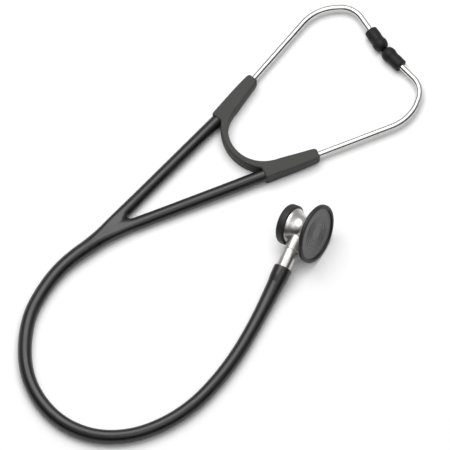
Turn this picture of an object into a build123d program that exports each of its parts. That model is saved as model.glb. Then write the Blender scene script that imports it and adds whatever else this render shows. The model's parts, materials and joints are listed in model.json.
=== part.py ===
from build123d import *
import math
import os

# A double-headed acoustic stethoscope, lying flat. All sizes are in millimetres.
# +Y runs along the headset's symmetry axis, from the tubing's V towards the ear tips,
# +X is to the right arm, and +Z is up from the surface that the stethoscope lies on.
# Each part is moved at the end so that the origin is under the middle of everything
# but the free tube.

# --- Driving dimensions ---

# Tubing
tube_r = 5.2                      # outer radius of the main tube
tube_bore_r = 2.4                 # radius of the air passage
branch_r = 4.75                   # outer radius of a branch tube
neck_r = 3.8                      # the branch tube's end, inside the sleeve
branch_bore_r = 2.5
branch_start = 16.5               # where a branch leaves the junction's stub
junction_end_y = -40.0            # where the junction becomes the plain tube
crotch_middle = -1.7              # the crotch lies to one side of the main tube's line
crotch_half_gap = 6.2             # from there to a branch's axis, at the crotch
crotch_z = 5.0

# Yoke: two sleeves and a U-shaped spring bridge, moulded as one
yoke_height = 11.5
arm_splay = 14.4                  # angle of each sleeve from the symmetry axis, degrees
sleeve_foot_x = 28.9
sleeve_foot_y = 102.8
sleeve_length = 43.0
foot_half_width = 5.2
mouth_half_width = 4.6
mouth_height = 9.2
bridge_inner_r = 26.0
bridge_inner_y = 123.5            # centre of the bridge's inner arc
bridge_outer_r = 36.0
bridge_outer_y = 128.6            # centre of the bridge's outer arc
bridge_apex_y = 125.0             # the bridge meets the sleeves on two planes through here
yoke_edge = 1.2                   # width of the bevel along the yoke's edges
branch_depth = 15.5               # how far a branch tube goes into its sleeve

# Leaf spring and its sockets
leaf_thickness = 0.8
leaf_height = 6.0
leaf_centre_y = 124.6
leaf_offset = 4.5                 # from the sleeve's axis to the middle of the leaf
leaf_tail = 11.0                  # straight length beside each socket
slot_clearance = 0.3
socket_r = 3.3
socket_start = 17.0
socket_end = 38.0

# Ear tubes and ear tips
ear_tube_r = 2.4
ear_tube_bore_r = 1.7
running_clearance = 0.05
ear_tube_start = 9.0              # inside the sleeve, within the branch tube's bore
shoulder_distance = 118.0         # from the sleeve's foot to the first bend
shoulder_bend_r = 34.0
crown_bend_r = 18.0
tip_base = (18.8, 135.6)          # from the centre line and from the foot's level
crown_reach = 23.5                # from the second bend to the ear tip
tip_droop = 5.0                   # angle of the ear tip below the X axis, degrees
tip_length = 18.55
tip_barrel_r = 5.2
tip_head_r = 5.7
tip_insertion = 8.5               # how far the ear tube goes into the ear tip
insert_r = 3.3

# Chestpiece: "along" is measured on the head's axis from where it crosses the stem's
head_x = 85.7
head_y = 93.2
head_azimuth = 66.9               # of the diaphragm's face, clockwise from +Y, degrees
stem_dip = 13.5                   # slope of the stem down to the tube, degrees
diaphragm_ring_r = 22.6
diaphragm_ring_back = 11.4
diaphragm_ring_front = 14.4
ring_back_edge_r = 0.6
bell_ring_r = 15.4
bell_face = -13.6
bell_ring_back = -7.0
bell_edge_r = 1.0
bore_r = 3.25                     # the head's bore for the stem

# Stem: "out" is measured on the stem's axis from the head's axis
stem_inner_end = -5.0
boss_end = 18.0
boss_r = 6.0
stem_collar_start = 18.1
stem_collar_r = 5.8
tube_mouth = 32.5
barb_end = 44.0
stem_bore_r = 1.6
collar_end = 45.0                 # where the flared tube end becomes the plain tube
collar_mouth_r = 6.9
o_ring_out = 4.5
detent_out = 10.5
retainer_out = 15.0

# The tubing lies a little askew of the headset: the V has a placement of its own
v_x = -2.4
v_y = 0.0
v_turn = -1.2                     # about +Z, degrees

# The free tube's route after the junction, from the V's placement, chosen by hand
tube_route = [(0.2, -40.0), (0.2, -57.5), (7.8, -84.1), (21.6, -109.8), (48.3, -133.4)]
tube_route += [(75.8, -142.4), (104.5, -140.3), (128.2, -126.5), (143.7, -105.3)]
tube_route += [(150.9, -80.0), (151.5, -53.1), (145.8, -26.4), (136.4, -0.2), (124.2, 24.6)]


# --- Frames worked out from those ---

def unit(angle):
    """The XY direction at this angle from +Y, towards +X."""
    return Vector(math.sin(math.radians(angle)), math.cos(math.radians(angle)), 0)


def head_pose():
    """The head rests on both its rims: its tilt, its height, and its two directions."""
    reach = (diaphragm_ring_back + ring_back_edge_r) - (bell_face + bell_edge_r)
    rise = (diaphragm_ring_r - ring_back_edge_r) - (bell_ring_r - bell_edge_r)
    edge_step = bell_edge_r - ring_back_edge_r
    tilt = math.acos(edge_step / math.hypot(reach, rise)) - math.atan2(reach, rise)
    bell_drop = (bell_face + bell_edge_r) * math.sin(tilt)
    bell_drop -= (bell_ring_r - bell_edge_r) * math.cos(tilt) + bell_edge_r
    face = unit(head_azimuth) * math.cos(tilt) + Vector(0, 0, math.sin(tilt))
    dip = math.radians(stem_dip)
    turn = math.degrees(math.acos(math.tan(tilt) * math.tan(dip)))
    stem = unit(head_azimuth + turn) * math.cos(dip) - Vector(0, 0, math.sin(dip))
    return Vector(head_x, head_y, -bell_drop), face, stem


head_centre, face_direction, stem_direction = head_pose()
HEAD = Plane(origin=head_centre, x_dir=stem_direction, z_dir=face_direction).location
STEM = Plane(origin=head_centre, x_dir=face_direction, z_dir=stem_direction).location
V = Location((v_x, v_y, 0), (0, 0, v_turn))
HEADSET = Location((0, sleeve_foot_y, yoke_height / 2))

arm = unit(arm_splay)
outward = unit(arm_splay + 90)
foot = Vector(sleeve_foot_x, 0, 0)
SLEEVE = HEADSET * Plane(origin=foot, x_dir=outward, z_dir=arm).location


# --- Helpers ---

def cylinder(radius, low, high):
    """A cylinder on the Z axis from low to high."""
    return Pos(0, 0, low) * Cylinder(radius, high - low, align=(Align.CENTER, Align.CENTER, Align.MIN))


def tube(outer, inner, low, high):
    """A plain sleeve on the Z axis."""
    return cylinder(outer, low, high) - cylinder(inner, low - 1, high + 1)


def turned(points):
    """A solid turned about the Z axis from a closed outline of (radius, height) points."""
    outline = Polyline(*[(r, 0, z) for r, z in points], close=True)
    return revolve(make_face(outline), Axis.Z, 360)


def swept_tube(path, outer, inner):
    """A hollow tube along a path of straight runs and tangent arcs."""
    start = Plane(origin=path @ 0, z_dir=path % 0)
    return sweep(start * (Circle(outer) - Circle(inner)), path=path)


def mirrored(part):
    return mirror(part, about=Plane.YZ)


# --- Tubing ---

def branch_points(side):
    """Where a branch's axis crosses the crotch's line, and where it meets the sleeve."""
    crotch = (V * Pos(crotch_middle + side * crotch_half_gap, 0, crotch_z)).position
    knee = (SLEEVE * Pos(0, 0, -0.7)).position
    return crotch, Vector(side * knee.X, knee.Y, knee.Z)


def branch_tube(side):
    """The visible run, and a thinner neck that goes into the sleeve; 1 is right, -1 left."""
    crotch, knee = branch_points(side)
    run = Plane(origin=crotch, z_dir=knee - crotch).location
    length = (knee - crotch).length
    neck = cylinder(neck_r, -0.7, branch_depth)
    neck_bore = cylinder(branch_bore_r, -2, branch_depth + 1)
    if side > 0:
        neck, neck_bore = SLEEVE * neck, SLEEVE * neck_bore
    else:
        neck, neck_bore = mirrored(SLEEVE * neck), mirrored(SLEEVE * neck_bore)
    body = run * cylinder(branch_r, branch_start, length) + neck
    return body - run * cylinder(branch_bore_r, branch_start - 1, length) - neck_bore


def tube_junction():
    """The moulded V: an oval taper with a stub for each branch, and its air passages."""
    across = V * Plane(origin=(0, 0, crotch_z), x_dir=(1, 0, 0), z_dir=(0, 1, 0)).location
    sections = [
        across * Pos(-0.2, -0.3, junction_end_y) * Circle(5.3),
        across * Pos(-1.0, -0.4, -24) * Ellipse(6.7, 5.3),
        across * Pos(-1.6, -0.2, -9) * Ellipse(9.1, 4.9),
        across * Pos(crotch_middle, 0, 0.5) * Ellipse(10.4, 4.4),
    ]
    body = loft(Sketch() + sections)
    passages = across * Pos(-0.5, -0.2, junction_end_y) * cylinder(tube_bore_r, -1, 31)
    for side in (1, -1):
        crotch, knee = branch_points(side)
        run = Plane(origin=crotch, z_dir=knee - crotch).location
        body += run * cylinder(branch_r, -10, branch_start)
        passages += run * cylinder(branch_bore_r, -15, branch_start + 1)
    return body - passages


def corner_radii(points):
    """Each arc is as large as its two runs allow: 0.45 of the shorter one."""
    radii = []
    for before, here, after in zip(points, points[1:], points[2:]):
        into, out = here - before, after - here
        half_turn = math.radians(into.get_angle(out) / 2)
        radii.append(0.45 * min(into.length, out.length) / math.tan(half_turn))
    return radii


def main_tube_points():
    """The route on the surface, then the rise in line with the stem to the collar."""
    touch_down = (head_centre.Z - tube_r) / math.sin(math.radians(stem_dip))
    points = [(V * Pos(x, y, tube_r)).position for x, y in tube_route]
    points.append(head_centre + stem_direction * touch_down)
    points.append(head_centre + stem_direction * collar_end)
    return points


def main_tube():
    points = main_tube_points()
    radii = corner_radii(points)
    path = FilletPolyline(*points, radius=radii)
    solid = swept_tube(path, tube_r, tube_bore_r)
    section = math.pi * (tube_r**2 - tube_bore_r**2)
    print("main tube corner radii", [round(r) for r in radii])
    print("main tube length", round(path.length, 1))
    print("volume / (section x length)", round(solid.volume / (section * path.length), 4))
    return solid


def tube_collar():
    """The tube's end, stretched over the stem's barb."""
    outline = [
        (tube_bore_r, tube_mouth),
        (collar_mouth_r - 0.4, tube_mouth),
        (collar_mouth_r, tube_mouth + 0.5),
        (collar_mouth_r + 0.1, tube_mouth + 3),
        (6.1, tube_mouth + 8),
        (tube_r, collar_end),
        (tube_bore_r, collar_end),
    ]
    return STEM * turned(outline) - stem_spigot()


# --- Yoke ---

def yoke_half_outline():
    """The plan of the right half: inner arc, sleeve and outer arc, to the centre line."""
    foot_at = foot + Vector(0, sleeve_foot_y, 0)
    mouth_at = foot_at + arm * sleeve_length
    lean = 19.2
    inner_arc = CenterArc((0, bridge_inner_y), bridge_inner_r, -90, 90 - lean)
    outer_arc = CenterArc((0, bridge_outer_y), bridge_outer_r, -90, 42)
    mouth_inner = mouth_at - outward * mouth_half_width
    mouth_outer = mouth_at + outward * mouth_half_width
    foot_outer = foot_at + outward * foot_half_width
    sides = Polyline(inner_arc @ 1, mouth_inner, mouth_outer, foot_outer, outer_arc @ 1)
    middle = Line(outer_arc @ 0, inner_arc @ 0)
    return make_face(inner_arc.edges() + sides.edges() + outer_arc.edges() + middle.edges())


def yoke_side_profile():
    """The yoke from the side: full height under the bridge, then thinning to the mouths."""
    level_end = sleeve_foot_y + 3.2
    mouth_y = sleeve_foot_y + sleeve_length * math.cos(math.radians(arm_splay))
    beyond = 4.0
    slope = (yoke_height - mouth_height) / 2 / (mouth_y - level_end)
    run = mouth_y + beyond - level_end
    profile = Polyline(
        (0, 80, 0),
        (0, level_end, 0),
        (0, level_end + run, run * slope),
        (0, level_end + run, yoke_height - run * slope),
        (0, level_end, yoke_height),
        (0, 80, yoke_height),
        close=True,
    )
    return extrude(make_face(profile), amount=80, both=True)


def yoke_blank():
    """The whole outer shape of the moulding, with its long edges bevelled."""
    half = extrude(yoke_half_outline(), amount=20)
    blank = (half + mirrored(half)) & yoke_side_profile()
    flat_edges = blank.edges().filter_by(lambda e: abs((e % 0.5).Z) < 0.3)
    return chamfer(flat_edges, yoke_edge)


def bridge_wedge():
    """Everything between the two planes where the bridge meets the sleeves."""
    reach = 60
    corners = [(0, bridge_apex_y), (reach, bridge_apex_y - reach), (-reach, bridge_apex_y - reach)]
    return Pos(0, 0, -1) * extrude(make_face(Polyline(*corners, close=True)), amount=30)


def leaf_strip(thickness, height, tail):
    """The steel strip: an arc round the bridge and a straight tail along each sleeve."""
    foot_at = foot + Vector(0, sleeve_foot_y - leaf_centre_y, 0)
    radius = foot_at.dot(outward) - leaf_offset
    arc = CenterArc((0, leaf_centre_y), radius, -90, 90 - arm_splay)
    centre = arc + Line(arc @ 1, (arc @ 1) + arm * tail)
    inner = centre.edges()
    half = None
    for edge in inner:
        start = Plane(origin=edge @ 0, z_dir=edge % 0, x_dir=(0, 0, 1))
        piece = sweep(start * Rectangle(height, thickness), path=edge)
        half = piece if half is None else half + piece
    return Pos(0, 0, yoke_height / 2) * (half + mirrored(half))


def yoke_bridge(blank):
    return (blank & bridge_wedge()) - leaf_strip(leaf_thickness, leaf_height, 1)


def yoke_sleeve(blank):
    """A rubber sleeve: wide bore for the branch tube's neck, then the socket, then a lip."""
    right_half = Pos(40, 110, 0) * Box(80, 120, 60)
    body = (blank & right_half) - bridge_wedge()
    body -= SLEEVE * cylinder(branch_r + 0.3, -8, 0)
    body -= SLEEVE * cylinder(neck_r + running_clearance, -3, socket_start)
    body -= SLEEVE * cylinder(socket_r, socket_start, socket_end)
    body -= SLEEVE * cylinder(ear_tube_r + running_clearance, socket_end, sleeve_length + 3)
    slot = leaf_strip(leaf_thickness + 2 * slot_clearance, leaf_height + 2 * slot_clearance, leaf_tail + 1)
    return body - slot - SLEEVE * socket_saddle()


def socket_saddle():
    """The flat on the socket that the leaf spring's tail is fixed to."""
    start, end, half_height = 20.0, 26.0, 2.2
    reach = leaf_offset - leaf_thickness / 2 - slot_clearance / 2
    block = Box(reach, 2 * half_height, end - start, align=(Align.MAX, Align.CENTER, Align.MIN))
    return Pos(0, 0, start) * block - cylinder(ear_tube_r + running_clearance, start - 1, end + 1)


def spring_socket():
    sleeve = tube(socket_r, ear_tube_r + running_clearance, socket_start, socket_end)
    return SLEEVE * (sleeve + socket_saddle())


# --- Ear tubes and tips ---

def tip_direction():
    droop = math.radians(tip_droop)
    return Vector(-math.cos(droop), -math.sin(droop), 0)


def ear_tube():
    start = foot + arm * ear_tube_start
    shoulder = foot + arm * shoulder_distance
    base = Vector(*tip_base, 0)
    crown = base - tip_direction() * crown_reach
    end = base + tip_direction() * tip_insertion
    path = FilletPolyline(start, shoulder, crown, end, radius=[shoulder_bend_r, crown_bend_r])
    return HEADSET * swept_tube(path, ear_tube_r, ear_tube_bore_r)


TIP = HEADSET * Plane(origin=Vector(*tip_base, 0), x_dir=(0, 0, 1), z_dir=tip_direction()).location


def ear_tip():
    """A soft tip: a barrel with a mushroom head, hollow for the insert and the sound."""
    barrel_end = 10.6
    head_centre_at = tip_length - tip_head_r + 0.3
    barrel = fillet(cylinder(tip_barrel_r, 0, barrel_end + 2).edges(), 0.9)
    head = Pos(0, 0, head_centre_at) * Sphere(tip_head_r) & cylinder(tip_head_r + 1, 0, tip_length)
    tip = barrel + head
    tip -= cylinder(insert_r, 1.2, 7.2)
    tip -= cylinder(ear_tube_r, -1, tip_insertion)
    return TIP * (tip - cylinder(1.3, 1, tip_length + 1))


def ear_tip_insert():
    return TIP * tube(insert_r, ear_tube_r, 1.2, 7.2)


# --- Stem and what seals and holds it ---

def stem_spigot():
    """The barbed end that the tube is stretched over."""
    outline = [(0, tube_mouth - 0.5), (2.7, tube_mouth - 0.5)]
    for ridge in range(3):
        at = tube_mouth + 2.5 + 3.2 * ridge
        outline += [(2.7, at), (3.3, at), (2.7, at + 2.4)]
    outline += [(2.5, barb_end - 0.6), (2.2, barb_end), (0, barb_end)]
    return STEM * turned(outline)


def stem():
    """Barrel in the head's bore, visible collar, barbed spigot and air passage."""
    body = cylinder(bore_r - running_clearance, stem_inner_end, stem_collar_start)
    collar = cylinder(stem_collar_r, stem_collar_start, tube_mouth)
    body += chamfer(collar.edges(), 0.3)
    body -= tube(6, 2.7, o_ring_out - 0.7, o_ring_out + 0.7)
    body -= tube(6, 2.85, detent_out - 0.75, detent_out + 0.75)
    body -= tube(6, 2.7, retainer_out - 0.3, retainer_out + 0.3)
    part = STEM * body + stem_spigot()
    part -= STEM * cylinder(stem_bore_r, -2, barb_end + 1)
    return part - HEAD * cylinder(1.4, 0, 5)


def stem_o_ring():
    return STEM * tube(bore_r - running_clearance, 2.7, o_ring_out - 0.6, o_ring_out + 0.6)


def stem_retaining_ring():
    """An open snap ring in the stem's groove, reaching into the head's groove."""
    ring = tube(3.6, 2.7, retainer_out - 0.3, retainer_out + 0.3)
    gap = Pos(-3.2, 0, retainer_out) * Box(3, 2.4, 2)
    return STEM * (ring - gap)


# --- Chestpiece ---

detent_ball_r = 1.0
detent_seat = 2.85 + running_clearance
detent_hole_r = 1.05
spring_end = 8.6
screw_end = 10.3


def detent_axis():
    """The detent's hole runs towards the diaphragm, square to the stem."""
    return STEM * Pos(0, 0, detent_out) * Rot(0, 90, 0)


def detent_ball():
    return detent_axis() * Pos(0, 0, detent_seat + detent_ball_r) * Sphere(detent_ball_r)


def detent_spring():
    """The coil spring as a plain sleeve of its outer shape."""
    return detent_axis() * tube(0.9, 0.5, detent_seat + 2 * detent_ball_r, spring_end)


def detent_screw():
    screw = cylinder(1.4, spring_end, screw_end)
    socket = Pos(0, 0, screw_end - 0.9) * extrude(RegularPolygon(0.75, 6), amount=2)
    return detent_axis() * (screw - socket)


def chestpiece_outline():
    """Half the head's section: bell cup, waist, diaphragm plate and sound chamber."""
    bell_cup = [(2.0, -5.6), (4.5, -6.4), (8.5, -8.9), (11.6, -11.6), (12.6, -13.0)]
    rim = [(13.6, -13.0), (13.6, -6.6)]
    waist = [(12.7, -5.0), (11.2, -3.3), (9.9, -1.2), (9.2, 1.2), (9.0, 3.4)]
    flare = [(9.6, 5.4), (11.5, 7.4), (15.0, 9.0), (19.5, 10.0), (21.0, 10.8)]
    plate = [(21.0, 12.7), (19.4, 12.7), (18.8, 11.9), (5.0, 11.1), (2.0, 10.7)]
    return [(0, -5.4)] + bell_cup + rim + waist + flare + plate + [(0, 10.7)]


def chestpiece_body():
    boss = cylinder(boss_r, 0, boss_end)
    body = HEAD * turned(chestpiece_outline()) + STEM * chamfer(boss.edges(), 0.3)
    body -= STEM * cylinder(bore_r, stem_inner_end - 0.2, boss_end + 1)
    body -= STEM * cylinder(3.7, retainer_out - 0.4, retainer_out + 0.4)
    body -= HEAD * cylinder(1.5, -7, 12)
    body -= detent_axis() * cylinder(detent_hole_r, 2, spring_end)
    return body - detent_axis() * cylinder(1.4, spring_end, 14)


def bell_ring():
    """The non-chill ring, hooked over the bell's rim."""
    ring = cylinder(bell_ring_r, bell_face, bell_ring_back)
    ring = fillet(ring.edges(), bell_edge_r)
    ring -= cylinder(13.6, -13.0, 0)
    return HEAD * (ring - cylinder(12.6, bell_face - 1, 0))


def diaphragm_ring():
    """The retaining ring: a band round the plate with a lip over the diaphragm."""
    ring = cylinder(diaphragm_ring_r, diaphragm_ring_back, diaphragm_ring_front)
    ring = fillet(ring.edges().group_by(Axis.Z)[0], ring_back_edge_r)
    ring = fillet(ring.edges().group_by(Axis.Z)[-1], 1.0)
    ring -= cylinder(21.0, diaphragm_ring_back - 1, 13.1)
    return HEAD * (ring - cylinder(19.8, 12, 20))


def diaphragm():
    """A thin disc with concentric corrugations."""
    disc = cylinder(21.0, 12.7, 13.1)
    for radius in (7.0, 9.0, 11.0, 13.0):
        disc -= tube(radius + 0.5, radius - 0.5, 12.95, 14)
    return HEAD * disc


# --- Assembly ---

def pair(name, part):
    """A right-hand part and its mirror image on the left."""
    return {name + "_right": part, name + "_left": mirrored(part)}


def all_parts():
    blank = yoke_blank()
    parts = {
        "tube_junction": tube_junction(),
        "branch_tube_right": branch_tube(1),
        "branch_tube_left": branch_tube(-1),
        "main_tube": main_tube(),
        "tube_collar": tube_collar(),
        "yoke_bridge": yoke_bridge(blank),
        "leaf_spring": leaf_strip(leaf_thickness, leaf_height, leaf_tail),
        "stem": stem(),
        "stem_o_ring": stem_o_ring(),
        "stem_retaining_ring": stem_retaining_ring(),
        "chestpiece_body": chestpiece_body(),
        "bell_ring": bell_ring(),
        "diaphragm": diaphragm(),
        "diaphragm_ring": diaphragm_ring(),
        "detent_ball": detent_ball(),
        "detent_spring": detent_spring(),
        "detent_screw": detent_screw(),
    }
    parts.update(pair("yoke_sleeve", yoke_sleeve(blank)))
    parts.update(pair("spring_socket", spring_socket()))
    parts.update(pair("ear_tube", ear_tube()))
    parts.update(pair("ear_tip", ear_tip()))
    parts.update(pair("ear_tip_insert", ear_tip_insert()))
    return parts


def main():
    os.makedirs("parts", exist_ok=True)
    parts = all_parts()
    free = ("main_tube", "tube_collar")
    box = Compound([part for name, part in parts.items() if name not in free]).bounding_box()
    middle = box.center()
    print("box without the free tube", box.size)
    print("moved by", -middle.X, -middle.Y, -box.min.Z)
    print("head centre", head_centre, "face", face_direction, "stem", stem_direction)
    for name, part in parts.items():
        export_step(Pos(-middle.X, -middle.Y, -box.min.Z) * part, f"parts/{name}.step")


main()
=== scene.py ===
import json
import math

import bmesh
import bpy
from bpy.props import FloatProperty, FloatVectorProperty, IntProperty, PointerProperty
from mathutils import Matrix, Vector


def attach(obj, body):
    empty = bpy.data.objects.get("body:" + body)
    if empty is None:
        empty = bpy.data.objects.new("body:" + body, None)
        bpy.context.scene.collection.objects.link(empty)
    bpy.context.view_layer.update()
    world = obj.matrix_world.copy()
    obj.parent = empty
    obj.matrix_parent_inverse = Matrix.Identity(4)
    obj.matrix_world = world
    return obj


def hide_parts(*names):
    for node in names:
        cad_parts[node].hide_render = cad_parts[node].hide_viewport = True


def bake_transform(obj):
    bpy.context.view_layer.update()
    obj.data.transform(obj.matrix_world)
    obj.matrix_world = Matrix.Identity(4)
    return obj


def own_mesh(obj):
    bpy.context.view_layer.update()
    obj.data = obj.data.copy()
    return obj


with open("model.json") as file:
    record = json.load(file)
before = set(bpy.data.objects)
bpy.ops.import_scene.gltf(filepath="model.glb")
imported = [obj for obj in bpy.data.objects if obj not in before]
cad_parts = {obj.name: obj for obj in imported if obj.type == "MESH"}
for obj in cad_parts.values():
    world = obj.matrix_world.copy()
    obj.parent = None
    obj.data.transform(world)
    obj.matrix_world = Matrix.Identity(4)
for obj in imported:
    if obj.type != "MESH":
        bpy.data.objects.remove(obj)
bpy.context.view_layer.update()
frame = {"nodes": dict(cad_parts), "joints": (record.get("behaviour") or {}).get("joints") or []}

bl_info = {
    "name": "Stethoscope Builder",
    "version": (1, 0, 0),
    "blender": (4, 5, 0),
    "location": "3D View > Sidebar > Stethoscope",
    "description": "Builds the surfaces of a double-headed stethoscope round its CAD frame",
    "category": "Add Mesh",
}

MM = 0.001
UP = Vector((0, 0, 1))


# --- Places that the frame gives ---

JOINTS = {joint["name"]: joint for joint in frame["joints"]}
HEAD_CENTRE = Vector(JOINTS["chestpiece_turn"]["pos_m"])
STEM_AXIS = Vector(JOINTS["chestpiece_turn"]["axis"]).normalized()
FACE_AXIS = Vector(JOINTS["detent_ball_lift"]["axis"]).normalized()
SLEEVE_FOOT = Vector(JOINTS["right_ear_tube_swivel"]["pos_m"])
SLEEVE_AXIS = Vector(JOINTS["right_ear_tube_swivel"]["axis"]).normalized()
RIGHT_PIVOT = Vector(JOINTS["right_arm_spread"]["pos_m"])
LEFT_PIVOT = Vector(JOINTS["left_arm_spread"]["pos_m"])
PIVOT_LEVEL = 98.9 * MM
MIDDLE = Vector(((LEFT_PIVOT.x + RIGHT_PIVOT.x) / 2, RIGHT_PIVOT.y - PIVOT_LEVEL, 0))
FOOT_LEVEL = SLEEVE_FOOT - MIDDLE

# The tubing lies a little askew of the headset, so the V has a placement of its own
V_TURN = math.radians(-1.2)
V_PLACE = Matrix.Translation(MIDDLE + Vector((-2.4, 0, 0)) * MM) @ Matrix.Rotation(V_TURN, 4, "Z")


def axes(origin, z_axis, x_axis):
    """A placement whose Z and X axes point as given."""
    z_axis, x_axis = z_axis.normalized(), x_axis.normalized()
    y_axis = z_axis.cross(x_axis)
    turn = Matrix((x_axis, y_axis, z_axis)).transposed()
    return Matrix.Translation(origin) @ turn.to_4x4()


HEAD = axes(HEAD_CENTRE, FACE_AXIS, STEM_AXIS)
STEM = axes(HEAD_CENTRE, STEM_AXIS, FACE_AXIS)

# The free tube's route from the junction to the collar: metres, from the V's placement
TUBE_ROUTE = [
    (0.0000, -0.0400, 0.0058),
    (0.0000, -0.0575, 0.0056),
    (0.0078, -0.0841, 0.0054),
    (0.0217, -0.1096, 0.0053),
    (0.0490, -0.1323, 0.0053),
    (0.0759, -0.1413, 0.0053),
    (0.1043, -0.1396, 0.0053),
    (0.1282, -0.1265, 0.0053),
    (0.1437, -0.1053, 0.0053),
    (0.1509, -0.0800, 0.0053),
    (0.1515, -0.0531, 0.0053),
    (0.1458, -0.0264, 0.0053),
    (0.1364, -0.0002, 0.0053),
    (0.1242, 0.0246, 0.0054),
]
# How thick the tube is at each point of the route, against its plain thickness
TUBE_SWELL = [1.115, 1.06, 1.025, 1.01, 1, 1, 1, 1, 1, 1, 1, 1, 1, 1]


# --- Settings ---

class TubingSettings(bpy.types.PropertyGroup):
    """Sizes and colour of the rubber tubing"""
    tube_radius: FloatProperty(name="Tube radius", description="Outer radius of the main tube",
                               default=5.2 * MM, unit="LENGTH")
    branch_radius: FloatProperty(name="Branch radius", description="Outer radius of each branch tube",
                                 default=4.75 * MM, unit="LENGTH")
    mouth_radius: FloatProperty(name="Mouth radius", description="Outer radius of the flared end on the stem",
                                default=6.9 * MM, unit="LENGTH")
    colour: FloatVectorProperty(name="Colour", description="Colour of the tubing", subtype="COLOR",
                                size=3, default=(0.006, 0.006, 0.0065))


class YokeSettings(bpy.types.PropertyGroup):
    """Sizes and colour of the rubber yoke"""
    grain: FloatProperty(name="Mesh grain", description="Width of one face of the moulded yoke",
                         default=0.38 * MM, unit="LENGTH")
    edge_radius: FloatProperty(name="Edge radius", description="Rounding of the yoke's long edges",
                               default=1.4 * MM, unit="LENGTH")
    softening: IntProperty(name="Softening", description="Smoothing passes that blend the moulded shapes",
                           default=9, min=0)
    colour: FloatVectorProperty(name="Colour", description="Colour of the yoke's rubber", subtype="COLOR",
                                size=3, default=(0.042, 0.042, 0.040))


class HeadsetSettings(bpy.types.PropertyGroup):
    """Sizes and colour of the ear tubes and ear tips"""
    tube_radius: FloatProperty(name="Ear tube radius", description="Outer radius of the metal ear tubes",
                               default=2.39 * MM, unit="LENGTH")
    sides: IntProperty(name="Sides", description="Faces round each ear tube", default=48, min=8)
    tip_colour: FloatVectorProperty(name="Tip colour", description="Colour of the soft ear tips", subtype="COLOR",
                                    size=3, default=(0.008, 0.008, 0.008))
    metal: FloatVectorProperty(name="Metal", description="Colour of the plated ear tubes", subtype="COLOR",
                               size=3, default=(0.62, 0.615, 0.605))


class ChestpieceSettings(bpy.types.PropertyGroup):
    """Sizes and colours of the chestpiece"""
    sides: IntProperty(name="Sides", description="Faces round each turned piece", default=144, min=24)
    metal: FloatVectorProperty(name="Metal", description="Colour of the turned steel", subtype="COLOR",
                               size=3, default=(0.62, 0.605, 0.585))
    membrane: FloatVectorProperty(name="Membrane", description="Colour of the diaphragm", subtype="COLOR",
                                  size=3, default=(0.07, 0.07, 0.073))
    ripple: FloatProperty(name="Ripple", description="Height of the diaphragm's rings",
                          default=0.16 * MM, unit="LENGTH")


class StageSettings(bpy.types.PropertyGroup):
    """Floor, lights and camera"""
    distance: FloatProperty(name="Camera distance", description="From the camera to the middle of the picture",
                            default=12.0, unit="LENGTH")
    width: FloatProperty(name="Picture width", description="Width of the view at the object",
                         default=0.3338, unit="LENGTH")
    elevation: FloatProperty(name="Elevation", description="Height angle of the camera",
                             default=math.radians(63.5), subtype="ANGLE")
    heading: FloatProperty(name="Heading", description="From the view's right side to the headset's axis",
                           default=math.radians(37.4), subtype="ANGLE")


# --- Mesh helpers ---

def new_object(name, bm):
    """A scene object with this mesh, smooth except along its sharp edges."""
    for face in bm.faces:
        face.smooth = True
    for edge in bm.edges:
        if len(edge.link_faces) == 2 and edge.calc_face_angle(0) > math.radians(40):
            edge.smooth = False
    mesh = bpy.data.meshes.new(name)
    bm.to_mesh(mesh)
    bm.free()
    obj = bpy.data.objects.new(name, mesh)
    bpy.context.scene.collection.objects.link(obj)
    return obj


def rounded(corners, steps=8):
    """Outline points from (radius, height, rounding) corners, with each rounding as an arc."""
    points = []
    for index, corner in enumerate(corners):
        here = Vector(corner[:2])
        rounding = corner[2] if len(corner) > 2 else 0
        if rounding == 0 or index in (0, len(corners) - 1):
            points.append(here)
            continue
        back = (Vector(corners[index - 1][:2]) - here).normalized()
        ahead = (Vector(corners[index + 1][:2]) - here).normalized()
        half = back.angle(ahead) / 2
        centre = here + (back + ahead).normalized() * rounding / math.sin(half)
        start = here + back * rounding / math.tan(half) - centre
        sweep = start.angle_signed(here + ahead * rounding / math.tan(half) - centre)
        for step in range(steps + 1):
            spun = start.copy()
            spun.rotate(Matrix.Rotation(-sweep * step / steps, 2))
            points.append(centre + spun)
    return points


def curve_through(points, steps=10):
    """A smooth outline through (radius, height) points, as a Catmull-Rom curve."""
    out = []
    ends = [points[0]] + list(points) + [points[-1]]
    for a, b, c, d in zip(ends, ends[1:], ends[2:], ends[3:]):
        a, b, c, d = Vector(a), Vector(b), Vector(c), Vector(d)
        for step in range(steps):
            t = step / steps
            smooth = (2 * b + (c - a) * t + (2 * a - 5 * b + 4 * c - d) * t**2
                      + (3 * b - a - 3 * c + d) * t**3) / 2
            out.append(smooth)
    return out + [Vector(points[-1])]


def turned(name, outline, place, sides, ring=False):
    """A solid turned about the Z axis of place, from (radius, height) points in millimetres.
    A ring's outline closes on itself; any other starts and ends on the axis."""
    bm = bmesh.new()
    rows = []
    for point in outline:
        radius, height = point[0] * MM, point[1] * MM
        if radius < 1e-7:
            rows.append([bm.verts.new((0, 0, height))] * sides)
            continue
        angles = [2 * math.pi * side / sides for side in range(sides)]
        rows.append([bm.verts.new((radius * math.cos(a), radius * math.sin(a), height)) for a in angles])
    pairs = list(zip(rows, rows[1:])) + ([(rows[-1], rows[0])] if ring else [])
    for low, high in pairs:
        for side in range(sides):
            after = (side + 1) % sides
            corners = [low[side], low[after], high[after], high[side]]
            unique = list(dict.fromkeys(corners))
            if len(unique) > 2:
                bm.faces.new(unique)
    bmesh.ops.remove_doubles(bm, verts=bm.verts, dist=1e-6)
    bmesh.ops.recalc_face_normals(bm, faces=bm.faces)
    bm.transform(place)
    return new_object(name, bm)


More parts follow.
